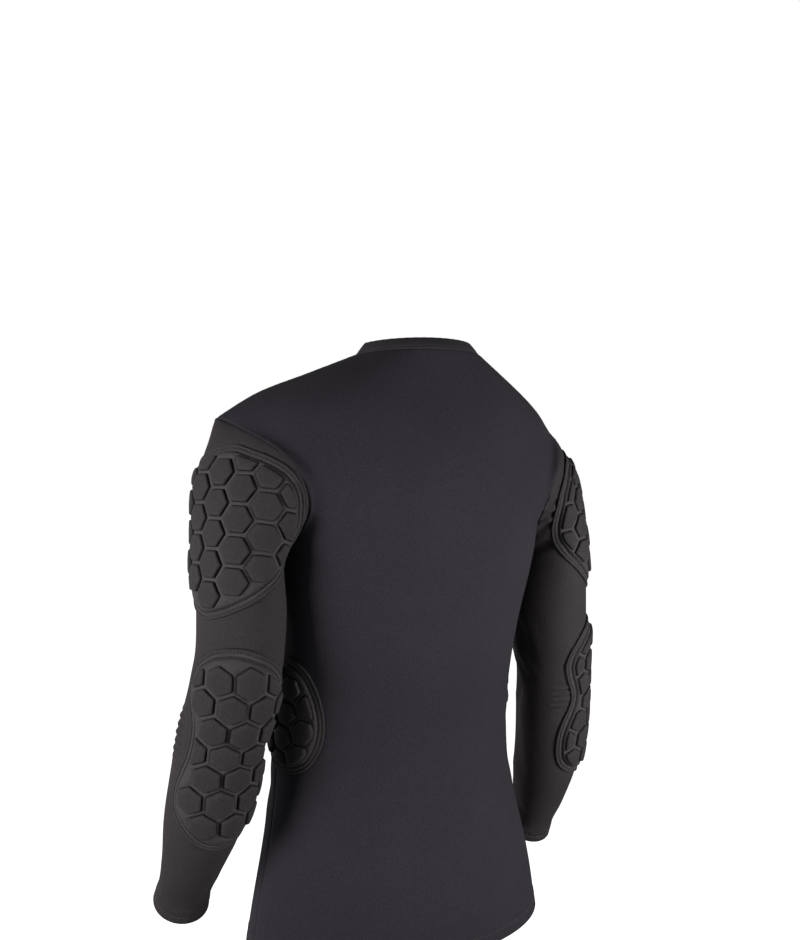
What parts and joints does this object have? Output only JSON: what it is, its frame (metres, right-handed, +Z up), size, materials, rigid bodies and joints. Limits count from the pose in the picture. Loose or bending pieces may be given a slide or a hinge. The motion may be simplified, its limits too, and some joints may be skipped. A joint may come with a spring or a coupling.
{
  "type": "padded compression shirt",
  "caption": "Long-sleeved compression shirt with a low crew band and honeycomb foam pads on the shoulders, elbows and lower ribs.",
  "frame": {"origin": "on the midline inside the neck opening, level with the tops of the shoulder seams, where a wearer's shoulders hold the shirt up", "axes": "+Z up the body, -Y out of the front, +X to the wearer's left"},
  "size_m": [0.5668, 0.2473, 0.6925],
  "materials": {
    "front_panel": "matt dark grey stretch knit",
    "back_panel": "matt dark grey stretch knit",
    "left_sleeve": "matt dark grey stretch knit",
    "right_sleeve": "matt dark grey stretch knit",
    "collar_band": "matt dark grey stretch knit",
    "left_shoulder_pad": "matt dark grey knit over foam cells",
    "right_shoulder_pad": "matt dark grey knit over foam cells",
    "left_elbow_pad": "matt dark grey knit over foam cells",
    "right_elbow_pad": "matt dark grey knit over foam cells",
    "left_rib_pad": "matt dark grey knit over foam cells",
    "right_rib_pad": "matt dark grey knit over foam cells"
  },
  "bodies": {
    "root": {"front_panel": "front_panel", "back_panel": "back_panel", "left_sleeve": "left_sleeve", "right_sleeve": "right_sleeve", "collar_band": "collar_band", "left_shoulder_pad": "left_shoulder_pad", "right_shoulder_pad": "right_shoulder_pad", "left_elbow_pad": "left_elbow_pad", "right_elbow_pad": "right_elbow_pad", "left_rib_pad": "left_rib_pad", "right_rib_pad": "right_rib_pad"}
  },
  "joints": []
}
